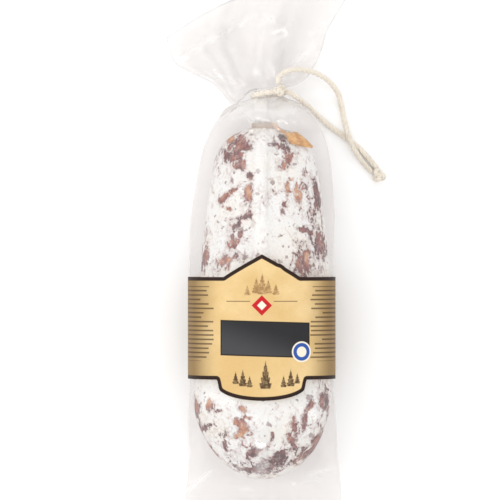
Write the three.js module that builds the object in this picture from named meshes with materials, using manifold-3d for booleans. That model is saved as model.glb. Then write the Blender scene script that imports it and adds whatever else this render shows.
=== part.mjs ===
// A dry-cured sausage lying on its back in a clear film bag. The bag is welded flat at the foot,
// gathered at the neck and tied with cotton twine, whose two ends make a hanging loop; above the
// tie its open mouth fans out. A paper band is wrapped round bag and sausage.
//
// Millimetres, +Z up. The sausage lies along Y with the neck of the bag towards +Y. The origin is
// on the surface that the pack rests on, under the middle of the bag.
import * as THREE from "three";
import { mergeVertices } from "three/addons/utils/BufferGeometryUtils.js";
import Module from "manifold-3d";

const wasm = await Module();
wasm.setup();

// ---- driving dimensions -------------------------------------------------------------------
const HALF_WIDTH = 31.1; // the sausage's widest half
const TOP_HALF_WIDTH = 23.6; // its half width where the tied end starts to close
const SECTION_RATIO = 0.84; // height of a section over its width
const SKIN_POWER = 2.1; // 2 is an ellipse, more is squarer
const FILM_POWER = 2.35; // the same for a section of film or paper round it
const FOOT_Y = -102; // the round closed end
const HEAD_Y = 54.6; // the tied end, without the gathered casing
const FOOT_CAP = 36; // length over which each end closes
const HEAD_CAP = 17;
const SAG = 1.5; // how far the underside has settled flat
const TIP_DROP = 3; // how far the round end hangs lower than the body

const CLEARANCE = 0.3; // gap between pieces that touch
const FILM = 0.4; // stands for thin film
const PAPER = 0.4;
const REST_Z = PAPER + CLEARANCE + FILM + CLEARANCE; // the sausage's underside

const BAG_HALF_LENGTH = 121.93;
const BAG_HALF_WIDTH = 42; // at the open mouth
const WELD = 5.7; // length of the welded foot
const WELD_HEIGHT = 1;
const NECK = new THREE.Vector3(4.6, 69.7, 14);
const NECK_HALF = new THREE.Vector2(5.7, 4.5); // half width and half height of the gathered film
const NECK_BORE = 1; // what the gathered film leaves open

const BAND_X = 1.2; // the paper band's middle line and outer half width
const BAND_HALF_WIDTH = 32.8;
const BAND_HEIGHT = 54;
const BAND_TOP = -11.9; // its straight edges
const BAND_FOOT = -57;
const CREST_HEIGHT = 10.3; // the peaked front rises this far above the band
const CREST_HALF = 16.5;
const APRON_DEPTH = 9; // the rounded front hangs this far below it
const APRON_HALF = 20.4;

const TWINE = 2.4; // diameter
const TIE_TWINE = 1; // radius of the thin string's turns on the sausage's own end

// ---- helpers ------------------------------------------------------------------------------
const clamp01 = (t) => Math.min(1, Math.max(0, t));
const smooth = (t) => clamp01(t) ** 2 * (3 - 2 * clamp01(t));
const mix = (a, b, t) => a + (b - a) * t;
const TURN = 2 * Math.PI;

// A closed surface through rings of equal length: capped with a fan at each end, or, when looped,
// running from the last ring back to the first.
function loft(rings, looped = false) {
  const n = rings[0].length;
  const points = rings.flat();
  const index = [];
  for (let r = 0; r < rings.length - (looped ? 0 : 1); r++) {
    const next = (r + 1) % rings.length;
    for (let i = 0; i < n; i++) {
      const j = (i + 1) % n;
      index.push(r * n + i, r * n + j, next * n + j);
      index.push(r * n + i, next * n + j, next * n + i);
    }
  }
  for (const r of looped ? [] : [0, rings.length - 1]) {
    const centre = new THREE.Vector3();
    rings[r].forEach((p) => centre.addScaledVector(p, 1 / n));
    const c = points.push(centre) - 1;
    for (let i = 0; i < n; i++) {
      const edge = [r * n + i, r * n + ((i + 1) % n)];
      index.push(c, ...(r === 0 ? edge.reverse() : edge));
    }
  }
  const geometry = new THREE.BufferGeometry().setFromPoints(points);
  geometry.setIndex(index);
  return facingOut(geometry);
}

// Turns every face round if the closed surface encloses a negative volume.
function facingOut(geometry) {
  const p = geometry.getAttribute("position");
  const index = geometry.index.array;
  const [a, b, c] = [new THREE.Vector3(), new THREE.Vector3(), new THREE.Vector3()];
  let volume = 0;
  for (let i = 0; i < index.length; i += 3) {
    a.fromBufferAttribute(p, index[i]);
    b.fromBufferAttribute(p, index[i + 1]);
    c.fromBufferAttribute(p, index[i + 2]);
    volume += a.dot(b.cross(c));
  }
  if (volume < 0) {
    for (let i = 0; i < index.length; i += 3) {
      [index[i + 1], index[i + 2]] = [index[i + 2], index[i + 1]];
    }
  }
  return geometry;
}

// A round tube along a curve, whose radius is a function of the share of its length.
function taperedTube(curve, radiusAt, steps, sides) {
  const frames = curve.computeFrenetFrames(steps, false);
  const rings = [];
  for (let s = 0; s <= steps; s++) {
    const centre = curve.getPointAt(s / steps);
    const r = radiusAt(s / steps);
    const ring = [];
    for (let i = 0; i < sides; i++) {
      const t = (TURN * i) / sides;
      ring.push(
        centre
          .clone()
          .addScaledVector(frames.normals[s], r * Math.cos(t))
          .addScaledVector(frames.binormals[s], r * Math.sin(t)),
      );
    }
    rings.push(ring);
  }
  return loft(rings);
}

function solidOf(geometry) {
  const bare = geometry.clone();
  bare.deleteAttribute("normal");
  bare.deleteAttribute("uv");
  const merged = mergeVertices(bare, 1e-4);
  return new wasm.Manifold(
    new wasm.Mesh({
      numProp: 3,
      vertProperties: merged.getAttribute("position").array,
      triVerts: new Uint32Array(merged.index.array),
    }),
  );
}

function geometryOf(solid) {
  const mesh = solid.getMesh();
  return new THREE.BufferGeometry()
    .setAttribute("position", new THREE.BufferAttribute(new Float32Array(mesh.vertProperties), 3))
    .setIndex(new THREE.BufferAttribute(new Uint32Array(mesh.triVerts), 1));
}

const curveThrough = (points) =>
  new THREE.CatmullRomCurve3(points.map((p) => new THREE.Vector3(...p)), false, "centripetal");

// ---- the sausage's form -------------------------------------------------------------------
// Half width before the ends close: a pear that is fullest towards the round end.
const FULLEST_Y = -60;
function bodyHalfWidth(y) {
  const t = Math.max(0, (y - FULLEST_Y) / (HEAD_Y - HEAD_CAP - FULLEST_Y));
  return mix(HALF_WIDTH, TOP_HALF_WIDTH, t * t);
}

// 1 along the body, falling to 0 at each end. The round end is the more pointed one.
function capShare(y) {
  const foot = clamp01((FOOT_Y + FOOT_CAP - y) / FOOT_CAP);
  const head = clamp01((y - HEAD_Y + HEAD_CAP) / HEAD_CAP);
  return Math.sqrt(Math.max(0, 1 - foot ** 1.7)) * Math.sqrt(Math.max(0, 1 - head ** 2.5));
}

// The body bends a little to the right towards its middle and its tied end.
const axisX = (y) => 1.6 + 1.2 * Math.exp(-(((y - 5) / 26) ** 2)) + 0.9 * smooth((y - 15) / 30);

// A rounded closed section across Y, flattened where it would sink below the floor.
function section({ y, x, z, halfWidth, halfHeight, floor }, sides, power) {
  const ring = [];
  for (let i = 0; i < sides; i++) {
    const t = (TURN * i) / sides;
    const [c, s] = [Math.cos(t), Math.sin(t)];
    const across = halfWidth * Math.sign(c) * Math.abs(c) ** (2 / power);
    const up = halfHeight * Math.sign(s) * Math.abs(s) ** (2 / power);
    ring.push(new THREE.Vector3(x + across, y, Math.max(z + up, floor)));
  }
  return ring;
}

function skinRing(y, sides) {
  const share = capShare(y);
  const foot = clamp01((FOOT_Y + FOOT_CAP - y) / FOOT_CAP);
  const z = REST_Z - SAG + bodyHalfWidth(y) * SECTION_RATIO - TIP_DROP * foot * foot;
  const halfWidth = bodyHalfWidth(y) * share;
  const halfHeight = halfWidth * SECTION_RATIO;
  return section({ y, x: axisX(y), z, halfWidth, halfHeight, floor: REST_Z }, sides, SKIN_POWER);
}

// A section of film or paper between a low and a high z, which settles flat as the sausage does.
function wrapRing([y, x, half, low, high], inset, sides) {
  const halfHeight = (high - low + SAG) / 2 - inset;
  const z = (high + low - SAG) / 2;
  const halfWidth = half - inset;
  return section({ y, x, z, halfWidth, halfHeight, floor: low + inset }, sides, FILM_POWER);
}

// ---- pieces -------------------------------------------------------------------------------
// The casing is gathered into a short stub at the tied end, and its dry tail folds over to the
// right and lies on the shoulder.
const STUB_RADIUS = 3.4;
const TAIL = [
  [2.5, 46, 21],
  [2.5, 52, 21],
  [2.6, 57, 21.2],
  [4.6, 59.2, 23.6],
  [8.4, 58.2, 27.4],
  [12.8, 55, 29.6],
  [18.4, 50, 29.4],
  [24, 45.8, 25.6],
];
const TIE_AT = new THREE.Vector3(2.5, 56, 21.1);

function sausage() {
  const sides = 32;
  const steps = 30;
  const rings = [];
  for (let s = 1; s < steps; s++) {
    const t = s / steps;
    const y = mix(FOOT_Y, HEAD_Y, t - 0.09 * Math.sin(TURN * t)); // closer at the ends
    rings.push(skinRing(y, sides));
  }
  const taper = (t) => mix(STUB_RADIUS, 0.8, smooth((t - 0.2) / 0.6) ** 0.6);
  const tail = taperedTube(curveThrough(TAIL), taper, 18, 10);
  return geometryOf(solidOf(loft(rings)).add(solidOf(tail)));
}

// Two turns of thin string round the gathered stub, as one collar.
function casingTie() {
  const ringRadius = STUB_RADIUS + CLEARANCE + TIE_TWINE;
  const collar = new THREE.TorusGeometry(ringRadius, TIE_TWINE, 8, 20);
  collar.rotateX(Math.PI / 2);
  collar.translate(TIE_AT.x, TIE_AT.y, TIE_AT.z);
  return collar;
}

// The bag from the weld to the band and from the band to the neck, as sections across Y:
// y, centre x, half width, low z, high z.
const BAG_WELD = [
  [-BAG_HALF_LENGTH, 1.1, 35.4, 0, WELD_HEIGHT],
  [-BAG_HALF_LENGTH + WELD, 1.1, 35.4, 0, WELD_HEIGHT],
];
const BAG_BELOW = [
  [-113.5, 1, 35.2, 0, 8],
  [-109, 0.9, 34.8, 0, 19],
  [-104, 0.9, 34.4, 0, 29.5],
  [-97, 0.8, 33.9, 0, 40],
  [-88, 0.7, 33.4, 0, 48],
  [-79, 0.6, 33.3, 0, 53],
  [-72, 0.9, 33, 0.3, 54.4],
];
const BAG_ABOVE = [
  [5, 1.6, 32.8, 0.3, 52.6],
  [15, 1.9, 32.4, 0, 50.4],
  [27, 2.6, 31, 0, 47],
  [38, 2.8, 29.8, 0, 43.8],
  [46, 2.8, 28.2, 0.2, 41],
  [53.5, 3, 25.4, 1.2, 38.4],
  [59.5, 3.4, 21.2, 3, 34.8],
  [63.4, 3.9, 16, 5.6, 29],
  [65.8, 4.4, 10.4, 8.2, 22.6],
];
const BAG_IN_BAND = [-68, -57, -46, -35, -24, -13, -1.5]; // sections that lie inside the band
const BAG_SIDES = 36;
const NECK_REACH = 2.2; // half the length of the gathered neck

// The mouth above the tie: left edge, right edge, height of the film's middle, bow of the section
// and half the gap between its two layers.
const MOUTH_SECTIONS = [
  [[-4.6, 72.8], [14, 73.2], 12.4, 0.3, 3.6],
  [[-14.5, 73.2], [20.4, 76], 9.6, 1.5, 2.6],
  [[-25, 76], [24.6, 81.4], 7.4, 3, 2],
  [[-34, 80.6], [28, 88.4], 6.2, 5, 1.8],
  [[-39.4, 84.8], [30.6, 96.4], 5.6, 7, 1.7],
  [[-41.4, 89.6], [35.4, 106.4], 5.2, 9, 1.6],
  [[-BAG_HALF_WIDTH, 95], [BAG_HALF_WIDTH, 119.6], 5, 12, 1.5],
];

const bandRing = (y, inset, sides) =>
  wrapRing([y, BAND_X, BAND_HALF_WIDTH, 0, BAND_HEIGHT], inset, sides);

// A section of the gathered neck.
function neckRing(y, halfWidth, halfHeight) {
  const ring = [];
  for (let i = 0; i < BAG_SIDES; i++) {
    const t = (TURN * i) / BAG_SIDES;
    ring.push(
      new THREE.Vector3(NECK.x + halfWidth * Math.cos(t), y, NECK.z + halfHeight * Math.sin(t)),
    );
  }
  return ring;
}

// A section of the open mouth: two layers that meet at both edges, waved by the folds that fan
// out from the tie.
function mouthRing([left, right, middle, bow, gap], inset) {
  const foldHeight = 2.4 * smooth(bow / 5);
  const reach = 1 - inset / 20;
  const ring = [];
  for (let i = 0; i < BAG_SIDES; i++) {
    const t = (TURN * i) / BAG_SIDES;
    const across = (1 + reach * Math.cos(t)) / 2;
    const fold = foldHeight * Math.sin(3 * Math.PI * across + 0.6);
    const layer = (gap - inset) * Math.sin(t);
    ring.push(
      new THREE.Vector3(
        mix(left[0], right[0], across),
        mix(left[1], right[1], across) + bow * Math.sin(Math.PI * across),
        middle + fold + layer,
      ),
    );
  }
  return ring;
}

function filmBag() {
  const underPaper = PAPER + CLEARANCE;
  const skin = (inset, throat) => [
    ...BAG_BELOW.map((s) => wrapRing(s, inset, BAG_SIDES)),
    ...BAG_IN_BAND.map((y) => bandRing(y, underPaper + inset, BAG_SIDES)),
    ...BAG_ABOVE.map((s) => wrapRing(s, inset, BAG_SIDES)),
    neckRing(NECK.y - NECK_REACH, ...throat),
    neckRing(NECK.y + NECK_REACH, ...throat),
    ...MOUTH_SECTIONS.map((s) => mouthRing(s, inset)),
  ];
  const weld = BAG_WELD.map((s) => wrapRing(s, 0, BAG_SIDES));
  const outside = skin(0, NECK_HALF.toArray());
  const inside = skin(FILM, [NECK_BORE, NECK_BORE]);
  return loft([...weld, ...outside, ...inside.reverse()]);
}

// The band's lower and upper edge at a distance from its middle line: in front a low peak rises
// above the band and a rounded apron hangs below it.
function bandEdges(x, inFront) {
  const u = Math.abs(x);
  if (!inFront) return [BAND_FOOT, BAND_TOP];
  const crest = CREST_HEIGHT * clamp01(1 - u / CREST_HALF) ** 0.85;
  const apron = APRON_DEPTH * Math.sqrt(Math.max(0, 1 - (u / APRON_HALF) ** 3));
  return [BAND_FOOT - apron, BAND_TOP + crest];
}

function paperLabel() {
  const sides = 60;
  const rows = 7;
  const wall = (inset) => {
    const rings = [];
    for (let r = 0; r <= rows; r++) {
      const ring = bandRing(0, inset, sides);
      ring.forEach((p, i) => {
        const [low, high] = bandEdges(p.x - BAND_X, i < sides / 2);
        p.y = mix(low, high, r / rows);
      });
      rings.push(ring);
    }
    return rings;
  };
  return loft([...wall(0), ...wall(PAPER).reverse()], true);
}

// A turn of twine round the neck, tilted so that its front runs higher than its back, with the
// knot on its right front, where both ends of the twine leave.
const KNOT = new THREE.Vector3(9.2, 71.1, 21.2);
const KNOT_SIZE = [3, 2.6, 2];
const TURN_TILT = 0.5;

function neckTie() {
  const radius = TWINE / 2;
  const [halfWidth, halfHeight] = NECK_HALF.toArray().map((r) => r + CLEARANCE + radius);
  const rings = [];
  for (let i = 0; i < 28; i++) {
    const around = (TURN * i) / 28;
    const [c, s] = [Math.cos(around), Math.sin(around)];
    const ring = [];
    for (let j = 0; j < 8; j++) {
      const t = (TURN * j) / 8;
      const out = radius * Math.cos(t);
      ring.push(
        new THREE.Vector3(
          NECK.x + c * (halfWidth + out),
          NECK.y + s * TURN_TILT + radius * Math.sin(t),
          NECK.z + s * (halfHeight + out),
        ),
      );
    }
    rings.push(ring);
  }
  return geometryOf(solidOf(loft(rings, true)).add(solidOf(knot(KNOT, KNOT_SIZE))));
}

function knot(centre, size) {
  const ball = new THREE.IcosahedronGeometry(1, 2);
  ball.scale(...size);
  ball.translate(centre.x, centre.y, centre.z);
  return ball;
}

// Both strands as they lie: off the knot, down beside the bag and along the surface, where the
// upper one crosses the lower in a low hump and then lies beside it up to the end knot.
const UPPER_STRAND = [
  [8.6, 74.2, 22],
  [9, 76.8, 21.6],
  [11.2, 79, 20.2],
  [15, 80.3, 17.8],
  [19.6, 80.4, 14.8],
  [24.6, 79.4, 11.4],
  [29.4, 77, 8],
  [33.2, 73.6, 5],
  [35.8, 69.4, 3],
  [37, 65, 1.8],
  [37.9, 60.4, 2],
  [38.8, 56, 3.2],
  [40, 51.6, 4.2],
  [41.4, 48, 4.2],
  [43, 44.8, 3.3],
  [44.9, 41.8, 2.1],
  [47, 39, 1.4],
  [50.8, 35, 1.3],
];
const LOWER_STRAND = [
  [12.6, 70.4, 20.6],
  [15.4, 69, 18.8],
  [18.4, 67, 15.4],
  [21.6, 64.4, 10.8],
  [24.8, 61.6, 6.2],
  [28.4, 58.4, 2.8],
  [32.2, 55.3, 1.4],
  [36.4, 52.2, 1.3],
  [40.8, 49.1, 1.3],
  [45.2, 45.6, 1.3],
  [49.4, 41, 1.3],
  [53, 36.6, 1.3],
];
const END_KNOT = new THREE.Vector3(54.2, 32.8, 2.7);
const END_KNOT_SIZE = [3, 3, 2.5];

function strand(points) {
  const curve = curveThrough(points);
  const corners = [];
  for (let i = 0; i < 8; i++) {
    const t = (TURN * (i + 0.5)) / 8;
    corners.push(new THREE.Vector2(Math.cos(t), Math.sin(t)).multiplyScalar(TWINE / 2));
  }
  const steps = Math.round(curve.getLength() / (1.6 * TWINE));
  return new THREE.ExtrudeGeometry(new THREE.Shape(corners), { steps, extrudePath: curve });
}

// ---- materials ----------------------------------------------------------------------------
const finish = (color, roughness, metalness = 0) =>
  new THREE.MeshStandardMaterial({ color, roughness, metalness });
const bloomedCasing = finish(0xe6e0d8, 0.85);
const tieString = finish(0xb99a72, 0.9);
const clearFilm = finish(0xeeeae6, 0.15);
clearFilm.transparent = true;
clearFilm.opacity = 0.3;
const kraftPaper = finish(0xd9b877, 0.7);
const cottonTwine = finish(0xe9dfcb, 0.9);

// ---- assembly -----------------------------------------------------------------------------
const part = new THREE.Group();
part.name = "cured_sausage_pack";

function add(name, geometry, material) {
  const mesh = new THREE.Mesh(geometry, material);
  mesh.name = name;
  part.add(mesh);
}

add("sausage", sausage(), bloomedCasing);
add("casing_tie", casingTie(), tieString);
add("film_bag", filmBag(), clearFilm);
add("paper_label", paperLabel(), kraftPaper);
add("neck_tie", neckTie(), cottonTwine);
add("loop_strand_upper", strand(UPPER_STRAND), cottonTwine);
add("loop_strand_lower", strand(LOWER_STRAND), cottonTwine);
add("loop_end_knot", knot(END_KNOT, END_KNOT_SIZE), cottonTwine);

export default part;
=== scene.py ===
"""A dry-cured sausage in a clear film bag, tied with cotton twine and wrapped in a paper band.

Everything is in metres, +Z up, with the sausage lying along Y and the bag's neck towards +Y.
"""

import math

import bpy
import numpy as np
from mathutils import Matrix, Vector


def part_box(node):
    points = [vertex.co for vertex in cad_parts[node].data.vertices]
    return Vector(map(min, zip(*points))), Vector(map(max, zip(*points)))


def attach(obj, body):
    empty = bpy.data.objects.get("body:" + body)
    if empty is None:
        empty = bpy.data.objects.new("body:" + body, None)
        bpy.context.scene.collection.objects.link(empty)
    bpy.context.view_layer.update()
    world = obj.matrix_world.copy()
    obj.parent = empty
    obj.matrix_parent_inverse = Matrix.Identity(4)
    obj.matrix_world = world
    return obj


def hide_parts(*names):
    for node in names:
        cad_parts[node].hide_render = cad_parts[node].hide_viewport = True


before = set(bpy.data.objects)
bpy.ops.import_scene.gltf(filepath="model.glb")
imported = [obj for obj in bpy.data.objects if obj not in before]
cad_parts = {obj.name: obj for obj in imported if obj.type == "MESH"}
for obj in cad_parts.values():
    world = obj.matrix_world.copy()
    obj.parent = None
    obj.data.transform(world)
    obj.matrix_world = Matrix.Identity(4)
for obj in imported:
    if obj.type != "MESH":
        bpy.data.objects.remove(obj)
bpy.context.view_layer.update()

bl_info = {
    "name": "Cured Sausage in a Tied Bag",
    "version": (1, 0, 0),
    "blender": (4, 5, 0),
    "location": "3D View > Sidebar > Sausage",
    "description": "Makes a bloomed sausage, its film bag, paper band and twine loop",
    "category": "Add Mesh",
}

MM = 0.001
ROOT = "root"

BAG_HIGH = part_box("film_bag")[1]
COLLAR_LOW, COLLAR_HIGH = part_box("casing_tie")


# ---- Numbers and curves ----
def smooth(low, high, value):
    """0 below low, 1 above high, eased between them."""
    t = np.clip((np.asarray(value, float) - low) / (high - low), 0, 1)
    return t * t * (3 - 2 * t)


def mix(a, b, t):
    return a + (b - a) * t


def through(keys, rows, at):
    """Values on a smooth curve through rows, which stand at rising keys, read at each of at."""
    keys, rows = np.asarray(keys, float), np.asarray(rows, float)
    flat = rows.reshape(len(keys), -1)
    slopes = np.gradient(flat, keys, axis=0)
    at = np.clip(at, keys[0], keys[-1])
    i = np.clip(np.searchsorted(keys, at, side="right") - 1, 0, len(keys) - 2)
    gap = (keys[i + 1] - keys[i])[:, None]
    t = (at - keys[i])[:, None] / gap
    value = (
        (2 * t**3 - 3 * t**2 + 1) * flat[i]
        + (t**3 - 2 * t**2 + t) * gap * slopes[i]
        + (3 * t**2 - 2 * t**3) * flat[i + 1]
        + (t**3 - t**2) * gap * slopes[i + 1]
    )
    return value.reshape((len(at),) + rows.shape[1:])


def smooth_path(points, step):
    """Points about step apart on a smooth curve through a route."""
    points = np.asarray(points, float)
    gaps = np.linalg.norm(np.diff(points, axis=0), axis=1)
    keys = np.concatenate([[0], np.cumsum(gaps)])
    fine = through(keys, points, np.linspace(0, keys[-1], 40 * len(points)))
    along = np.concatenate([[0], np.cumsum(np.linalg.norm(np.diff(fine, axis=0), axis=1))])
    even = np.linspace(0, along[-1], max(4, round(along[-1] / step)))
    return np.stack([np.interp(even, along, fine[:, k]) for k in range(3)], axis=1)


def lumps(points, size, seed, waves=28):
    """Smooth noise of about -1 to 1, whose lumps are size across."""
    rng = np.random.default_rng(seed)
    total = np.zeros(points.shape[:-1])
    for _ in range(waves):
        way = rng.normal(size=3)
        way *= 2 * math.pi / (size * rng.uniform(1.4, 3.2) * np.linalg.norm(way))
        total += np.sin(points @ way + rng.uniform(0, 2 * math.pi))
    return total / math.sqrt(waves)


def superellipse(angles, power):
    """Cosine and sine of a rounded box: power 2 is a circle."""
    c, s = np.cos(angles), np.sin(angles)
    return np.sign(c) * np.abs(c) ** (2 / power), np.sign(s) * np.abs(s) ** (2 / power)


# ---- Meshes ----
def new_piece(name, mesh, material=None):
    piece = bpy.data.objects.new(name, mesh)
    bpy.context.scene.collection.objects.link(piece)
    if material:
        mesh.materials.clear()
        mesh.materials.append(material)
    return piece


def joined(name, pieces):
    """Several meshes as one piece."""
    for piece in pieces:
        piece.select_set(True)
    with bpy.context.temp_override(active_object=pieces[0], selected_editable_objects=pieces):
        bpy.ops.object.join()
    pieces[0].name = pieces[0].data.name = name
    return pieces[0]


def skin_mesh(name, rings, marks=(), close=False, looped=False):
    """A smooth mesh through rings of points, an array of ring, point and axis.

    marks are (name, array of ring and point) pairs kept as attributes. close puts a fan on both
    ends, and looped joins the last ring to the first.
    """
    count, sides, _ = rings.shape
    points = rings.reshape(-1, 3)
    last = count if looped else count - 1
    r, i = np.meshgrid(np.arange(last), np.arange(sides), indexing="ij")
    j, n = (i + 1) % sides, (r + 1) % count
    quads = np.stack([r * sides + i, r * sides + j, n * sides + j, n * sides + i], -1)
    faces = quads.reshape(-1, 4).tolist()
    if close:
        points = np.vstack([points, rings[[0, -1]].mean(axis=1)])
        for k in range(sides):
            following = (k + 1) % sides
            faces.append((count * sides, following, k))
            top = (count - 1) * sides
            faces.append((count * sides + 1, top + k, top + following))
    mesh = bpy.data.meshes.new(name)
    mesh.from_pydata(points.tolist(), [], faces)
    for mark, values in marks:
        flat = np.broadcast_to(values, (count, sides)).astype(float)
        if close:
            flat = np.append(flat, [flat[0].mean(), flat[-1].mean()])
        mesh.attributes.new(mark, "FLOAT", "POINT").data.foreach_set("value", flat.reshape(-1))
    mesh.polygons.foreach_set("use_smooth", [True] * len(mesh.polygons))
    mesh.update()
    return mesh


def turned_out(mesh):
    """Turns a mesh's faces round if they enclose a negative volume."""
    count = len(mesh.vertices)
    points = np.zeros(count * 3)
    mesh.vertices.foreach_get("co", points)
    points = points.reshape(-1, 3) - points.reshape(-1, 3).mean(axis=0)
    mesh.calc_loop_triangles()
    corners = np.zeros(len(mesh.loop_triangles) * 3, dtype=int)
    mesh.loop_triangles.foreach_get("vertices", corners)
    a, b, c = points[corners.reshape(-1, 3)].transpose(1, 0, 2)
    if np.einsum("ij,ij->", a, np.cross(b, c)) < 0:
        mesh.flip_normals()
    return mesh


# ---- Materials ----
class Value:
    """A socket that holds a number: arithmetic on it adds Math nodes."""

    def __init__(self, finish, socket):
        self.finish = finish
        self.socket = socket

    def math(self, operation, *others):
        values = dict(enumerate((self, *others)))
        return self.finish.node("ShaderNodeMath", {"operation": operation}, values)

    def __add__(self, other):
        return self.math("ADD", other)

    def __sub__(self, other):
        return self.math("SUBTRACT", other)

    def __rsub__(self, other):
        return self.finish.node("ShaderNodeMath", {"operation": "SUBTRACT"}, {0: other, 1: self})

    def __mul__(self, other):
        return self.math("MULTIPLY", other)

    def __truediv__(self, other):
        return self.math("DIVIDE", other)

    def __pow__(self, other):
        return self.math("POWER", other)

    def __abs__(self):
        return self.math("ABSOLUTE")

    def __mod__(self, other):
        return self.math("FLOORED_MODULO", other)

    __radd__ = __add__
    __rmul__ = __mul__

    def over(self, low, high):
        """0 where this is below low and 1 above high, eased; falling if low is above high."""
        settings = {"interpolation_type": "SMOOTHSTEP"}
        values = {"Value": self, "From Min": low, "From Max": high}
        return self.finish.node("ShaderNodeMapRange", settings, values)

    def most(self, other):
        return self.math("MAXIMUM", other)

    def least(self, other):
        return self.math("MINIMUM", other)


class Finish:
    """A material's node tree."""

    def __init__(self, name):
        self.material = bpy.data.materials.new(name)
        self.material.use_nodes = True
        self.tree = self.material.node_tree
        self.tree.nodes.clear()
        self.end = self.tree.nodes.new("ShaderNodeOutputMaterial")

    def node(self, kind, settings=None, values=None, output=0):
        """Adds a node, its settings first, then its sockets' values or links."""
        node = self.tree.nodes.new(kind)
        for name, setting in (settings or {}).items():
            if name == "stops":
                self._stops(node.color_ramp, setting)
            else:
                setattr(node, name, setting)
        for key, value in (values or {}).items():
            if isinstance(value, Value):
                self.tree.links.new(value.socket, node.inputs[key])
            else:
                node.inputs[key].default_value = value
        return Value(self, node.outputs[output])

    @staticmethod
    def _stops(ramp, stops):
        while len(ramp.elements) < len(stops):
            ramp.elements.new(0.5)
        for element, (place, colour) in zip(ramp.elements, stops):
            element.position = place
            element.color = (*colour, 1)

    def mark(self, name):
        return self.node("ShaderNodeAttribute", {"attribute_name": name}, output="Fac")

    def place(self):
        return self.node("ShaderNodeTexCoord", output="Object")

    def stretched(self, vector, scale):
        return self.node("ShaderNodeMapping", None, {0: vector, "Scale": scale})

    def noise(self, vector, scale, detail=3.0, roughness=0.55, distortion=0.0):
        values = {
            "Vector": vector,
            "Scale": scale,
            "Detail": detail,
            "Roughness": roughness,
            "Distortion": distortion,
        }
        return self.node("ShaderNodeTexNoise", None, values)

    def noise_colour(self, vector, scale):
        """Noise in three independent numbers, to warp a place with."""
        values = {"Vector": vector, "Scale": scale, "Detail": 2.0}
        return self.node("ShaderNodeTexNoise", None, values, output="Color")

    def blend(self, amount, first, second):
        """A colour between two, or between a colour and a link."""
        pair = [c if isinstance(c, Value) else (*c, 1) for c in (first, second)]
        settings = {"data_type": "RGBA"}
        return self.node("ShaderNodeMix", settings, {0: amount, 6: pair[0], 7: pair[1]}, output=2)

    def bump(self, height, distance, strength=1.0):
        values = {"Height": height, "Distance": distance, "Strength": strength}
        return self.node("ShaderNodeBump", None, values)

    def surface(self, values):
        self.shade(self.node("ShaderNodeBsdfPrincipled", None, values))
        return self.material

    def shade(self, shader):
        self.tree.links.new(shader.socket, self.end.inputs["Surface"])
        return self.material


def bloomed_casing(colours):
    """White powdery bloom over red-brown meat, worn through in ragged streaks and dots."""
    f = Finish("bloomed casing")
    place = f.place()
    streaked = f.stretched(place, (1, 0.6, 1))
    ragged = f.noise(streaked, 330, 3, 0.62, 0.8)
    fine = f.noise(place, 900, 2, 0.6, 0.5)
    # The bare mark also carries painted shade: between the string and the dry tail, and towards the
    # flanks and underside.
    wear = f.mark("bare") + (ragged - 0.5) * 2.1 + (fine - 0.5) * 0.8
    open_skin = wear.over(0.57, 0.8)
    stain = wear.over(0.22, 0.62)

    warped = f.blend(0.0035, place, f.noise_colour(place, 600))
    dots = f.node("ShaderNodeTexVoronoi", None, {"Vector": warped, "Scale": 235.0})
    dot_size = f.noise(place, 130, 2).over(0.36, 0.66) * 0.3
    dot = (dot_size - dots).over(-0.03, 0.05)

    tone = f.noise(streaked, 420, 3, 0.6)
    meat = f.node(
        "ShaderNodeValToRGB",
        {"stops": colours["meat"]},
        {0: tone.over(0.3, 0.7) * 0.5 + f.mark("fat") * 0.62 - 0.06},
    )
    powder = f.blend(f.noise(place, 60, 4, 0.6).over(0.35, 0.7), colours["bloom"], colours["cream"])
    powder = f.blend(fine.over(0.42, 0.75) * 0.5, powder, colours["grey"])
    stained = f.blend(stain * 0.62, powder, colours["stain"])
    dotted = f.blend(dot * 0.7, stained, colours["speck"])
    dusted = f.noise(streaked, 640, 3, 0.7).over(0.46, 0.7) * 0.42
    colour = f.blend(open_skin, dotted, f.blend(dusted, meat, colours["stain"]))

    grain = f.noise(place, 900, 4, 0.7)
    height = (1 - open_skin) * 0.7 + grain * 0.5 + f.noise(streaked, 260, 3) * 0.6
    return f.surface(
        {
            "Base Color": colour,
            "Roughness": 0.92 - open_skin * 0.42,
            "Subsurface Weight": 0.04,
            "Subsurface Radius": (0.002, 0.001, 0.0007),
            "Specular IOR Level": 0.35,
            "Normal": f.bump(height, 0.00028),
        }
    )


def dry_casing(colours):
    """Amber, horny, folded casing."""
    f = Finish("dry casing")
    place = f.place()
    streak = f.noise(f.stretched(place, (1.0, 1.6, 1.4)), 500, 4, 0.6)
    colour = f.blend(streak.over(0.3, 0.7), colours["amber"], colours["amber_dark"])
    return f.surface(
        {
            "Base Color": colour,
            "Roughness": 0.35 + streak * 0.2,
            "Subsurface Weight": 0.15,
            "Subsurface Radius": (0.003, 0.0015, 0.0005),
            "Normal": f.bump(streak, 0.0003),
        }
    )


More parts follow.
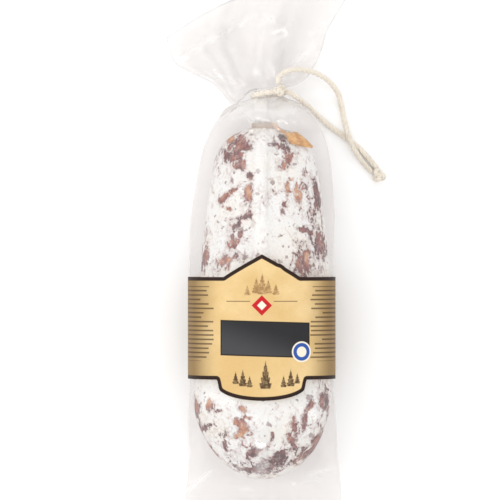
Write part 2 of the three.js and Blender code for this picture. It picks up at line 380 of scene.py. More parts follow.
def clear_film(amounts):
    """Thin film: mostly see-through, whiter where it is edge-on or doubled, with painted highlights
    as white lines along its creases and painted grey shade at its folded edges.
    """
    f = Finish("clear film")
    place = f.place()
    facing = f.node("ShaderNodeLayerWeight", None, {"Blend": 0.35}, output="Facing")
    cloud = f.noise(place, 55, 3, 0.5)
    ripple = f.noise(f.stretched(place, (1, 0.35, 1)), 120, 3, 0.55, 0.3)
    fine = f.noise(place, 420, 2, 0.5)
    solid = (
        amounts["haze"]
        + (facing ** 3) * amounts["edge"]
        # painted highlights: whiter along the fold crests where the crease mark is set
        + f.mark("crease") * amounts["crease"]
        + f.mark("seam") * amounts["seam"]
        # painted shade: more opaque and grey where the shade mark is set
        + f.mark("shade") * amounts["shade"]
        + (cloud - 0.5) * 0.05
    )
    see = f.node("ShaderNodeBsdfTransparent", None, {"Color": (*amounts["tint"], 1)})
    # The haze turns grey where the shade mark paints shade.
    haze = f.blend(f.mark("shade"), amounts["white"], amounts["grey"])
    sheen = f.node(
        "ShaderNodeBsdfPrincipled",
        None,
        {
            "Base Color": haze,
            "Metallic": 0.22,
            "Roughness": 0.16 + cloud.over(0.3, 0.8) * 0.12,
            "IOR": 1.9,
            "Normal": f.bump(ripple + fine * 0.06, 0.0005, 0.7),
        },
    )
    return f.shade(f.node("ShaderNodeMixShader", None, {0: solid.least(0.9), 1: see, 2: sheen}))


def printed_kraft(colours, print_sizes):
    """Kraft paper with a dark border, a bare dark panel, ruled lines and small plain marks."""
    f = Finish("printed kraft")
    u, v = f.mark("across"), f.mark("down")  # millimetres from the middle of the front
    place = f.place()
    fibre = f.noise(f.stretched(place, (1, 3, 1)), 700, 4, 0.6)
    cloud = f.noise(place, 45, 3)
    paper = f.blend(cloud.over(0.3, 0.75), colours["kraft"], colours["kraft_light"])
    paper = f.blend(fibre.over(0.45, 0.8) * 0.25, paper, colours["kraft_dark"])

    def bar(value, low, high, soft=0.12):
        return value.over(low - soft, low + soft) * value.over(high + soft, high - soft)

    def firs(group, teeth):
        """Plain fir trees: middle, foot, height and half width of each."""
        drawn = None
        for middle, foot, height, width in group:
            up = (v - foot) / height
            half = (1.0 - up) * width * (0.72 + ((up * teeth) % 1.0) * 0.45)
            tree = (half - abs(u - middle)).over(-0.1, 0.25) * bar(up, 0.0, 1.0, 0.02)
            drawn = tree if drawn is None else drawn.most(tree)
        return drawn

    out = abs(u)
    # Darker kraft towards the sides: partly print, partly painted shade where the band turns away
    # from the light.
    paper = f.blend(out.over(18, 36) * 0.85, paper, colours["kraft_edge"])

    # Ruled lines in two columns at the sides, each of its own length.
    row = (v / print_sizes["rule"]).math("FLOOR")
    seed = row + (u.over(-1, 1) * 40.0)
    length = f.node("ShaderNodeTexWhiteNoise", {"noise_dimensions": "1D"}, {"W": seed})
    inner = print_sizes["column"] + length * length * 9.0
    line = bar((v / print_sizes["rule"]) % 1.0, 0.3, 0.66, 0.08)
    rules = line * (out - inner).over(-0.1, 0.1) * bar(v, -14.5, 18.5)
    paper = f.blend(rules * 0.78, paper, colours["ink"])

    # The bare panel, shaded as a slate, a little askew.
    slant = v + u * 0.03
    panel = bar(u, -18.6, 21.8) * bar(slant, -12.4, 3.2)
    inside = bar(u, -18.0, 21.2) * bar(slant, -11.8, 2.6)
    slate = f.blend((slant + u * 0.3).over(-14, 2), colours["slate_light"], colours["slate"])
    paper = f.blend(panel, paper, colours["slate_rim"])
    paper = f.blend(inside, paper, slate)

    # A plain red lozenge with a pale middle between two thin rules.
    spot = out + abs(v - 10.1)
    rule = bar(v, 11.75, 12.1, 0.08) * bar(out, 5.2, 15.8, 0.2)
    paper = f.blend(rule * 0.85, paper, colours["ink"])
    paper = f.blend(spot.over(4.6, 4.4), paper, colours["red"])
    paper = f.blend(spot.over(2.2, 2.0), paper, colours["cream"])

    # A plain round sticker over the panel's corner: a blue ring on cream.
    ring = ((u - 17.9) ** 2 + (v + 10.3) ** 2) ** 0.5
    paper = f.blend(ring.over(4.7, 4.5), paper, colours["cream"])
    paper = f.blend(ring.over(4.0, 3.8) * ring.over(2.2, 2.4), paper, colours["blue"])

    wash = 0.5 + f.noise(place, 900, 2).over(0.35, 0.6) * 0.5
    paper = f.blend(firs(print_sizes["sepia_firs"], 6.0) * wash * 0.75, paper, colours["sepia"])
    paper = f.blend(firs(print_sizes["ink_firs"], 5.0) * (0.45 + wash * 0.5), paper, colours["ink"])

    border = f.mark("edge").over(print_sizes["border"] + 0.15, print_sizes["border"] - 0.15)
    paper = f.blend(border, paper, colours["border"])
    paper = f.blend(f.mark("inside"), paper, colours["kraft"])
    return f.surface(
        {
            "Base Color": paper,
            "Roughness": 0.5 + fibre * 0.2,
            "Specular IOR Level": 0.22,
            "Normal": f.bump(fibre + cloud * 1.5, 0.00012),
        }
    )


def cotton_twine(name, colours):
    """Twisted fibres that follow the plies."""
    f = Finish(name)
    place = f.place()
    along, around = f.mark("along"), f.mark("around")
    lay = f.node("ShaderNodeCombineXYZ", None, {0: along * 1400.0, 1: around * 9.0})
    fibre = f.noise(lay, 1.0, 4, 0.65, 0.4)
    cloud = f.noise(place, 260, 3)
    groove = abs(around - 0.5) * 2.0
    colour = f.blend(fibre.over(0.3, 0.75), colours["twine"], colours["twine_light"])
    colour = f.blend(cloud.over(0.4, 0.75) * 0.35, colour, colours["twine_dark"])
    return f.surface(
        {
            "Base Color": colour,
            "Roughness": 0.85,
            "Sheen Weight": 0.35,
            "Sheen Roughness": 0.5,
            "Normal": f.bump(fibre + groove * 0.2, 0.00025),
        }
    )


# ---- Twine: a Geometry Nodes tree that lays plies round a path ----
class Tree:
    """A Geometry Nodes tree with named inputs."""

    def __init__(self, name, inputs):
        self.group = bpy.data.node_groups.new(name, "GeometryNodeTree")
        sockets = self.group.interface
        sockets.new_socket("Geometry", in_out="INPUT", socket_type="NodeSocketGeometry")
        self.keys = {}
        for label, kind in inputs.items():
            socket = sockets.new_socket(label, in_out="INPUT", socket_type=f"NodeSocket{kind}")
            self.keys[label] = socket.identifier
        sockets.new_socket("Geometry", in_out="OUTPUT", socket_type="NodeSocketGeometry")
        self.input = self.group.nodes.new("NodeGroupInput")
        self.output = self.group.nodes.new("NodeGroupOutput")

    def node(self, kind, settings=None, values=None, output=0):
        """Adds a node, its settings first, and returns one of its outputs."""
        node = self.group.nodes.new(kind)
        for name, setting in (settings or {}).items():
            setattr(node, name, setting)
        for key, value in (values or {}).items():
            if isinstance(value, bpy.types.NodeSocket):
                self.group.links.new(value, node.inputs[key])
            else:
                node.inputs[key].default_value = value
        return node.outputs[output]

    def math(self, operation, a, b):
        return self.node("ShaderNodeMath", {"operation": operation}, {0: a, 1: b})

    def vector(self, operation, a, b):
        key = "Scale" if operation == "SCALE" else 1
        return self.node("ShaderNodeVectorMath", {"operation": operation}, {0: a, key: b})

    def store(self, geometry, name, value):
        """Keeps a number on each point under a name."""
        settings = {"data_type": "FLOAT", "domain": "POINT"}
        values = {0: geometry, "Name": name, "Value": value}
        return self.node("GeometryNodeStoreNamedAttribute", settings, values)

    def finish(self, geometry, material):
        real = self.node("GeometryNodeRealizeInstances", None, {0: geometry})
        painted = self.node("GeometryNodeSetMaterial", None, {0: real, "Material": material})
        self.group.links.new(painted, self.output.inputs[0])


PLIES = 3
PLY_RADIUS, PLY_OFFSET = 0.285, 0.25  # shares of the twine's diameter
PLY_SIDES = 10
STEPS_PER_DIAMETER = 4


def twine_tree():
    """Plies that wind round a path, each a round tube that keeps its place along and around."""
    inputs = {"Diameter": "Float", "Pitch": "Float", "Step": "Float", "Material": "Material"}
    tree = Tree("Twisted twine", inputs)
    give = tree.input.outputs
    route = tree.node("GeometryNodeMeshToCurve", None, {0: give["Geometry"]})
    values = {0: route, "Length": give["Step"]}
    route = tree.node("GeometryNodeResampleCurve", {"mode": "LENGTH"}, values)
    radius = tree.math("MULTIPLY", give["Diameter"], PLY_RADIUS)
    offset = tree.math("MULTIPLY", give["Diameter"], PLY_OFFSET)
    values = {"Resolution": PLY_SIDES, "Radius": radius}
    profile = tree.node("GeometryNodeCurvePrimitiveCircle", None, values)
    factor = tree.node("GeometryNodeSplineParameter", output="Factor")
    profile = tree.store(profile, "around", factor)
    length = tree.node("GeometryNodeSplineParameter", output="Length")
    turns = tree.math("DIVIDE", length, give["Pitch"])
    normal = tree.node("GeometryNodeInputNormal")
    tangent = tree.node("GeometryNodeInputTangent")
    side = tree.vector("CROSS_PRODUCT", tangent, normal)
    join = tree.group.nodes.new("GeometryNodeJoinGeometry")
    for ply in range(PLIES):
        angle = tree.math("MULTIPLY", tree.math("ADD", turns, ply / PLIES), 2 * math.pi)
        across = tree.math("MULTIPLY", tree.math("COSINE", angle, 0.0), offset)
        up = tree.math("MULTIPLY", tree.math("SINE", angle, 0.0), offset)
        out = tree.vector("SCALE", normal, across)
        move = tree.vector("ADD", out, tree.vector("SCALE", side, up))
        wound = tree.node("GeometryNodeSetPosition", None, {0: route, "Offset": move})
        wound = tree.store(wound, "along", length)
        tube = tree.node("GeometryNodeCurveToMesh", None, {0: wound, 1: profile, "Fill Caps": True})
        tree.group.links.new(tube, join.inputs[0])
    smooth_tube = tree.node("GeometryNodeSetShadeSmooth", None, {0: join.outputs[0]})
    tree.finish(smooth_tube, give["Material"])
    return tree


def twine_piece(name, paths, material, diameter, pitch, closed=False):
    """Twisted twine along one or more paths, as a plain mesh."""
    points, edges = [], []
    for path in paths:
        first = len(points)
        points += [tuple(p) for p in path]
        edges += [(k, k + 1) for k in range(first, len(points) - 1)]
        if closed:
            edges.append((len(points) - 1, first))
    route = bpy.data.meshes.new(name + "_route")
    route.from_pydata(points, edges, [])
    guide = bpy.data.objects.new(name + "_guide", route)
    bpy.context.scene.collection.objects.link(guide)
    tree = twine_tree()
    layer = guide.modifiers.new("Twine", "NODES")
    layer.node_group = tree.group
    step = diameter / STEPS_PER_DIAMETER
    inputs = {"Diameter": diameter, "Pitch": pitch, "Step": step, "Material": material}
    for label, value in inputs.items():
        layer[tree.keys[label]] = value
    wound = guide.evaluated_get(bpy.context.evaluated_depsgraph_get())
    made = bpy.data.meshes.new_from_object(wound)
    made.name = name
    bpy.data.objects.remove(guide)
    bpy.data.meshes.remove(route)
    return new_piece(name, made)


# ---- Shapes, in millimetres ----
REST = 1.4  # the sausage's underside lies on film and paper
SETTLED = 1.5  # how far the underside has settled flat
FOOT_Y, HEAD_Y = -102.0, 54.6
FOOT_CAP, HEAD_CAP = 36.0, 17.0
FULLEST_Y = -60.0
FULLEST, TOP = 31.1, 23.6
SECTION_RATIO = 0.84
SKIN_POWER = 2.1
STUB = (2.5, 21.1)  # x and z of the gathered casing
STUB_RUN = (  # y and half width of the gathered casing
    (46, 0),
    (50, 5.0),
    (53.5, 5.4),
    (54.8, 4.4),
    (56.0, 3.6),
    (57.2, 4.2),
    (58.0, 3.4),
    (58.4, 1.6),
)
SKIN_RINGS, SKIN_SIDES = 340, 210

BARE_SPOTS = (  # middle x and y, half length, half width, turn in degrees, depth, fat
    (-7.1, 46.4, 4.6, 2.4, -22, 1.1, 0.0),
    (-11.6, 42.6, 4.4, 3.6, 20, 1.1, 0.15),
    (-8.2, 37.6, 3.0, 2.6, 0, 1.0, 0.25),
    (-4.0, 32.2, 2.6, 1.7, 90, 1.2, 0.0),
    (-4.4, 25.6, 4.8, 1.8, 90, 1.15, 0.75),
    (-14.6, 23.8, 6.4, 1.7, 38, 1.0, 0.35),
    (-13.8, 18.4, 2.6, 1.1, -20, 0.9, 0.6),
    (-6.6, 14.6, 4.6, 1.4, 15, 0.8, 0.1),
    (-9.6, 11.2, 2.6, 1.2, 60, 0.75, 0.1),
    (-11.6, 2.8, 3.6, 2.2, 40, 1.0, 0.7),
    (-8.0, 7.2, 2.2, 1.2, 60, 0.8, 0.3),
    (-12.8, 50.3, 2.8, 2.0, 60, 1.4, 1.3),
    (5.3, 46.6, 3.0, 1.2, 10, 0.9, 0.0),
    # The row below paints the shade between the string and the dry tail: a painted shadow, not a
    # worn spot.
    (10.4, 49.6, 2.4, 1.5, -50, 1.1, 0.0),
    (11.8, 44.6, 3.4, 1.8, -50, 1.05, 0.1),
    (13.2, 40.6, 2.6, 1.9, 90, 1.05, 0.2),
    (11.2, 36.8, 2.4, 1.8, 90, 0.9, 0.6),
    (12.9, 26.6, 4.6, 1.4, 90, 1.1, 0.85),
    (17.0, 24.2, 5.8, 2.3, 90, 1.15, 0.7),
    (14.6, 31.4, 1.8, 0.9, 0, 0.9, 0.5),
    (10.6, 18.4, 3.4, 1.4, 70, 0.8, 0.1),
    (17.6, 16.8, 2.4, 0.9, 90, 0.9, 0.1),
    (20.0, 8.6, 4.4, 1.1, -18, 0.95, 0.4),
    (9.4, 6.2, 1.6, 1.0, 30, 0.75, 0.0),
    (27.6, 2.2, 5.6, 2.2, 105, 1.0, 0.3),
    (25.6, 24.0, 8.0, 1.2, 100, 0.8, 0.2),
    (-23.6, -3.6, 5.0, 1.2, 85, 0.7, 0.2),
    (-14.0, -4.6, 4.6, 1.4, 20, 0.8, 0.4),
    (18.4, -7.6, 4.0, 1.6, 120, 0.9, 0.15),
    (21.0, -3.0, 3.0, 1.4, 90, 0.85, 0.7),
    (-21.8, -67.6, 3.6, 1.9, 80, 1.0, 0.55),
    (-27.2, -69.6, 4.0, 1.2, 95, 0.8, 0.2),
    (-6.4, -70.0, 3.2, 1.6, -25, 1.0, 0.6),
    (-4.4, -73.8, 2.4, 1.0, 0, 0.85, 0.4),
    (-7.4, -77.2, 4.6, 2.4, -35, 1.1, 0.6),
    (-9.0, -81.0, 3.4, 2.0, 20, 1.0, 0.75),
    (-17.8, -70.8, 1.6, 0.9, 20, 0.8, 0.0),
    (-22.8, -78.0, 4.0, 1.0, 30, 0.75, 0.3),
    (-15.1, -86.2, 4.0, 0.9, 95, 0.85, 0.2),
    (5.8, -82.4, 3.6, 1.4, 75, 1.1, 0.1),
    (4.0, -86.4, 2.4, 1.2, 60, 0.85, 0.1),
    (13.8, -83.6, 3.8, 1.4, 118, 1.0, 0.45),
    (8.6, -91.4, 3.2, 2.4, 50, 1.15, 0.05),
    (-1.6, -89.4, 3.0, 1.4, 20, 0.8, 0.1),
    (-2.4, -97.6, 5.4, 1.7, -5, 1.1, 0.25),
    (28.6, -67.0, 5.0, 2.2, 95, 0.85, 0.1),
    (22.0, -69.4, 3.6, 1.6, 60, 0.9, 0.1),
    (15.2, -76.4, 5.0, 1.2, 100, 0.85, 0.4),
    (20.2, -75.0, 5.4, 1.3, 80, 0.95, 0.3),
    (24.6, -85.4, 4.4, 1.2, 62, 0.5, 0.4),
    (18.0, -92.0, 4.4, 1.6, 48, 0.7, 0.5),
    (-20.0, -90.6, 6.0, 1.3, -58, 1.0, 0.2),
)

WORN_ZONES = (  # the same numbers for wide zones where the bloom is thin
    (-9.0, 13.0, 12.0, 8.0, 90, 0.24, 0.1),
    (-13.0, -6.0, 12.0, 5.5, 10, 0.34, 0.2),
    (18.0, -7.0, 9.0, 7.0, 60, 0.3, 0.3),
    (22.0, 20.0, 24.0, 5.0, 100, 0.26, 0.2),
    (-22.0, -4.0, 14.0, 4.0, 85, 0.16, 0.2),
    (-9.0, 42.0, 9.0, 8.0, 0, 0.2, 0.1),
    (-2.0, 50.0, 10.0, 3.0, 0, 0.26, 0.1),
    (12.0, 42.0, 7.0, 5.0, 90, 0.18, 0.2),
    (15.0, 22.0, 9.0, 6.0, 90, 0.16, 0.4),
    (-15.0, 24.0, 8.0, 5.0, 40, 0.14, 0.3),
    (20.0, -80.0, 17.0, 10.0, 75, 0.38, 0.3),
    (4.0, -92.0, 20.0, 9.0, 0, 0.5, 0.15),
    (-25.0, -76.0, 14.0, 5.0, 105, 0.28, 0.3),
    (-8.0, -77.0, 9.0, 7.0, 100, 0.16, 0.5),
    (-15.0, -86.0, 7.0, 6.0, 60, 0.16, 0.2),
    (28.0, -64.0, 11.0, 5.0, 90, 0.26, 0.1),
)

BAND_MIDDLE, BAND_HALF, BAND_HEIGHT = 1.2, 32.8, 54.0
BAND_EDGES = (-57.0, -11.9)
BAND_SIDES, BAND_ROWS = 420, 84
FAR = 9.0  # what the band's inside has for a distance to its edge
WRAP_POWER = 2.35  # of the bag's and the band's sections
PRINT = {  # firs: middle, foot, height and half width of each
    "rule": 1.95,
    "column": 22.0,
    "border": 1.65,
    "ink_firs": (
        (1.6, -26.5, 12.6, 3.0),
        (-8.4, -25.4, 7.6, 2.1),
        (-11.6, -24.4, 5.6, 1.7),
        (-5.4, -25.8, 5.2, 1.6),
        (12.8, -25.4, 7.8, 2.1),
        (9.6, -25.8, 5.4, 1.6),
        (15.8, -24.2, 4.8, 1.5),
    ),
    "sepia_firs": (
        (-2.4, 15.4, 7.4, 2.2),
        (0.2, 15.0, 9.6, 2.6),
        (2.8, 15.4, 6.6, 2.0),
        (-6.4, 14.6, 4.6, 1.6),
        (6.2, 14.8, 5.0, 1.8),
    ),
}

BAG_RUN = (  # y, middle x, half width, low z and high z of the bag's sections
    (-121.9, 1.5, 35.0, 0.35, 0.65),
    (-116.4, 1.5, 35.0, 0.35, 0.75),
    (-114.0, 1.7, 34.9, 0.3, 5.5),
    (-109.0, 2.0, 34.6, 0.3, 16.0),
    (-104.0, 2.2, 34.3, 0.3, 27.5),
    (-98.0, 2.2, 33.8, 0.3, 38.5),
    (-90.0, 2.0, 33.2, 0.4, 47.0),
    (-80.0, 1.7, 33.0, 0.5, 52.3),
    (-71.0, 1.4, 32.7, 0.7, 53.6),
    (-62.0, 1.2, 32.1, 0.7, 53.3),
    (-34.0, 1.2, 32.1, 0.7, 53.3),
    (-7.0, 1.2, 32.1, 0.7, 53.2),
    (3.0, 1.5, 32.4, 0.6, 52.2),
    (15.0, 1.9, 32.3, 0.4, 49.6),
    (27.0, 2.4, 31.0, 0.3, 46.4),
    (38.0, 2.8, 29.6, 0.3, 43.2),
    (46.5, 3.0, 27.8, 0.5, 40.6),
    (53.5, 3.2, 25.0, 1.4, 37.6),
    (59.5, 3.6, 21.0, 3.2, 33.8),
    (63.6, 4.0, 16.2, 5.8, 28.2),
    (66.2, 4.4, 10.4, 8.6, 21.6),
    (68.2, 4.6, 5.8, 9.8, 18.2),
    (71.2, 4.6, 5.7, 9.8, 18.2),
)
BAG_SIDES, BODY_RINGS, SHOULDER_RINGS, MOUTH_RINGS = 220, 210, 60, 120
SHOULDER_Y = 52  # above it the rings lie closer
SEAM_X = 0.9  # middle of the lap seam down the front
MOUTH_PLEATS = 8.5
MOUTH_RUN = (  # share of the way, left x and y, right x and y, middle z, bow, gap, folds
    (0.0, -1.1, 71.2, 10.3, 71.2, 14.0, 0.0, 8.4, 0.0),
    (0.08, -7.5, 71.0, 15.0, 73.0, 12.2, 0.3, 5.6, 0.8),
    (0.2, -17.0, 73.6, 20.6, 76.4, 9.6, 1.4, 3.2, 1.6),
    (0.36, -28.0, 78.2, 25.0, 82.6, 7.4, 3.2, 2.2, 2.4),
    (0.54, -36.8, 83.0, 28.4, 90.4, 6.2, 5.6, 1.9, 2.8),
    (0.72, -39.6, 87.4, 31.0, 99.0, 5.6, 7.6, 1.7, 2.8),
    (0.88, -40.8, 91.8, 36.6, 108.4, 5.2, 9.2, 1.5, 2.6),
    (1.0, -41.6, 95.2, 41.6, 116.6, 5.0, 10.6, 1.4, 2.4),
)


def tapered(y):
    """Half width of the body before its ends are rounded."""
    t = np.maximum(0, y - FULLEST_Y) / (HEAD_Y - HEAD_CAP - FULLEST_Y)
    return mix(FULLEST, TOP, t**2)


def casing_half_width(y):
    """Half width of the body, closed at both ends."""
    foot = np.clip((FOOT_Y + FOOT_CAP - y) / FOOT_CAP, 0, 1)
    head = np.clip((y - HEAD_Y + HEAD_CAP) / HEAD_CAP, 0, 1)
    ends = np.sqrt(1 - foot**1.7) * np.sqrt(1 - head**2.5)
    return tapered(y) * ends


def worn(x, y, above, places):
    """How bare the casing is from named places, and how fat the meat is in them."""
    bare, fat = np.zeros(x.shape), np.zeros(x.shape)
    for middle_x, middle_y, length, width, turn, depth, fatness in places:
        c, s = math.cos(math.radians(turn)), math.sin(math.radians(turn))
        along = (x - middle_x) * c + (y - middle_y) * s
        across = (y - middle_y) * c - (x - middle_x) * s
        near = np.exp(-(((along / length) ** 2 + (across / width) ** 2) ** 1.4))
        bare = np.maximum(bare, near * depth)
        fat = mix(fat, fatness, near)
    return bare * above, fat * above


def sausage_mesh():
    """The body, its underside settled flat, and the casing gathered into a pleated stub."""
    t = np.linspace(0, 1, SKIN_RINGS)
    y = mix(FOOT_Y + 0.05, STUB_RUN[-1][0], t - 0.085 * np.sin(2 * math.pi * t))
    around = np.linspace(0, 2 * math.pi, SKIN_SIDES, endpoint=False)
    c, s = superellipse(around, SKIN_POWER)

    body = casing_half_width(y)
    stub = through([row[0] for row in STUB_RUN], [row[1] for row in STUB_RUN], y)
    half = (body**3 + np.maximum(stub, 0) ** 3) ** (1 / 3)
    gathered = smooth(51.0, 55.0, y)
    foot = np.clip((FOOT_Y + FOOT_CAP - y) / FOOT_CAP, 0, 1)
    fall = REST - SETTLED - 3.0 * foot**2
    full = tapered(y)
    middle_z = mix(fall + full * SECTION_RATIO, STUB[1], smooth(44, 54.5, y))
    bend = 1.2 * np.exp(-(((y - 5) / 26) ** 2)) + 0.9 * smooth(15, 45, y)
    middle_x = mix(1.6 + bend, STUB[0], gathered)
    ratio = mix(SECTION_RATIO, 0.95, gathered)

    pleat = np.cos(17 * around + 2.0 * np.sin(3 * around)) * 0.7 + np.cos(29 * around + 1.3) * 0.3
    pleating = (0.16 * smooth(50.0, 54.5, y) + 0.05 * smooth(40, 51, y))[:, None] * pleat
    radius = half[:, None] * (1 + pleating * np.minimum(1, 6 / np.maximum(half, 3))[:, None])
    x = middle_x[:, None] + radius * c
    z = middle_z[:, None] + radius * ratio[:, None] * s
    rings = np.stack([x, np.broadcast_to(y[:, None], x.shape), z], axis=-1)

    # Lumps of meat and fat press the casing, which dries back between them.
    calm = smooth(0, 10, half)[:, None]
    streaked = rings * (1, 0.5, 1)
    dent = 0.34 * lumps(rings, 16, 3) + 0.16 * lumps(streaked, 6, 4)
    dent += 0.09 * lumps(streaked, 2.6, 5)
    wrinkle = -0.22 * np.abs(lumps(rings * (1.6, 0.3, 1.6), 5, 6)) ** 0.7
    push = (dent - 0.55 + wrinkle) * calm
    rings[..., 0] += push * c
    rings[..., 2] = np.maximum(rings[..., 2] + push * s, REST)

    above = smooth(middle_z.mean() - 14, middle_z.mean() - 6, rings[..., 2])
    bare, fat = worn(rings[..., 0], rings[..., 1], above, BARE_SPOTS)
    thin, _ = worn(rings[..., 0], rings[..., 1], above, WORN_ZONES)
    side = np.abs(rings[..., 0] - middle_x[:, None]) / np.maximum(half[:, None], 1)
    # The casing is made more stained and bare towards the flanks and on the underside: partly the
    # mottling there, partly painted shade where the body turns from the light.
    rim = smooth(0.78, 1.0, side) * smooth(6, 24, half)[:, None]
    drift = lumps(rings * (1, 0.55, 1), 9, 11)
    bare = 0.7 * bare + thin + 0.17 * drift + 0.2 * rim + 0.2 * (1 - above) + 0.18
    bare = np.minimum(bare, 0.98)
    bare += 0.4 * smooth(53.0, 55.0, y)[:, None]
    fat = np.clip(fat + 0.12 + 0.28 * lumps(rings, 12, 12), 0, 1)
    marks = [("bare", bare), ("fat", fat)]
    return turned_out(skin_mesh("sausage_casing", rings * MM, marks, close=True))


TAIL_ROUTE = (  # the casing's dry end, out of the string and down on to the shoulder
    (6.4, 55.0, 25.4),
    (8.4, 54.0, 27.8),
    (10.6, 52.6, 29.8),
    (13.2, 51.0, 30.7),
    (16.4, 49.4, 30.7),
    (20.0, 47.6, 29.2),
    (23.7, 45.8, 26.6),
)
TAIL_RUN = (  # share of the way and half width
    (0, 0.5),
    (0.3, 0.5),
    (0.4, 0.9),
    (0.5, 2.3),
    (0.7, 2.1),
    (0.88, 1.3),
    (1, 0.6),
)
TAIL_SIDES = 40


def tail_mesh():
    """A flattened, twisted ribbon with horny folds, which narrows to a tip."""
    path = smooth_path(TAIL_ROUTE, 0.35)
    tangent = np.gradient(path, axis=0)
    tangent /= np.linalg.norm(tangent, axis=1)[:, None]
    up = np.tile((0.25, 0.3, 1.0), (len(path), 1))
    side = np.cross(tangent, up)
    side /= np.linalg.norm(side, axis=1)[:, None]
    up = np.cross(side, tangent)
    t = np.linspace(0, 1, len(path))
    wide = through([row[0] for row in TAIL_RUN], [row[1] for row in TAIL_RUN], t)
    thick = through([0, 0.1, 0.3, 0.6, 1], [2.4, 1.8, 1.0, 0.8, 0.2], t)
    around = np.linspace(0, 2 * math.pi, TAIL_SIDES, endpoint=False)
    fold = 1 + 0.16 * np.cos(5 * around[None] + 3 * t[:, None]) + 0.1 * np.cos(9 * around[None] + 1)
    out = np.cos(around)[None] * wide[:, None] * fold
    lift = np.sin(around)[None] * thick[:, None] * fold
    rings = path[:, None] + side[:, None] * out[..., None] + up[:, None] * lift[..., None]
    rings += (0.12 * lumps(rings, 2.2, 21))[..., None] * up[:, None]
    return turned_out(skin_mesh("casing_tail", rings * MM, close=True))


def crease(x, y, lines, width):
    """Ridges along straight lines from x0, y0 to x1, y1, each with a height."""
    total = np.zeros(x.shape)
    for x0, y0, x1, y1, height in lines:
        dx, dy = x1 - x0, y1 - y0
        length = math.hypot(dx, dy)
        along = ((x - x0) * dx + (y - y0) * dy) / length**2
        off = ((x - x0) * dy - (y - y0) * dx) / length
        ends = smooth(-0.15, 0.2, along) * smooth(1.15, 0.8, along)
        total += height * ends * np.exp(1 - np.sqrt(1 + (off / width) ** 2))
    return total


FOOT_FOLDS = (
    (-33.5, -110.5, -19.5, -96.5, 1.3),
    (-16.0, -100.0, -24.0, -117.0, 0.3),
    (-10.5, -105.6, -2.0, -106.8, 0.9),
    (3.0, -104.5, 5.0, -117.0, 0.3),
    (14.0, -101.0, 20.0, -117.0, 0.4),
    (21.0, -99.5, 35.0, -96.0, 1.0),
    (12.0, -104.5, 33.0, -100.5, 0.7),
    (26.0, -84.0, 34.0, -92.0, 0.5),
    (-26.0, -80.0, -31.0, -92.0, 0.5),
)
MOUTH_FOLDS = (
    (-38.0, 84.5, -2.0, 105.5, 1.6),
    (-33.0, 81.5, -9.0, 75.5, 1.3),
    (-22.0, 78.0, -4.0, 73.0, 0.9),
    (-36.0, 92.0, -12.0, 84.0, 0.8),
    (-10.0, 77.0, -16.0, 100.0, 0.8),
    (0.0, 76.0, 2.0, 104.0, 0.8),
    (7.0, 77.0, 17.0, 108.0, 1.0),
    (11.0, 77.0, 25.0, 93.0, 1.2),
    (1.0, 107.0, 12.0, 98.0, 1.2),
    (-2.0, 99.0, 10.0, 106.0, 0.9),
    (4.0, 96.0, 15.0, 101.0, 0.8),
    (16.0, 84.0, 27.0, 90.0, 0.9),
    (22.0, 96.0, 35.0, 103.0, 0.9),
    (-28.0, 97.5, -8.0, 88.0, 0.6),
)


def shoulder_folds():
    """Folds that run from the neck out over both shoulders."""
    rng = np.random.default_rng(31)
    lines = []
    for degrees in np.linspace(-172, -8, 17):
        angle = math.radians(degrees + rng.uniform(-3, 3))
        reach = rng.uniform(13, 26)
        start = (4.6 + 5 * math.cos(angle), 68.0 + 3 * math.sin(angle))
        end = (4.6 + reach * math.cos(angle), 68.0 + reach * math.sin(angle) * 0.85)
        lines.append((*start, *end, rng.uniform(0.4, 0.9)))
    return lines


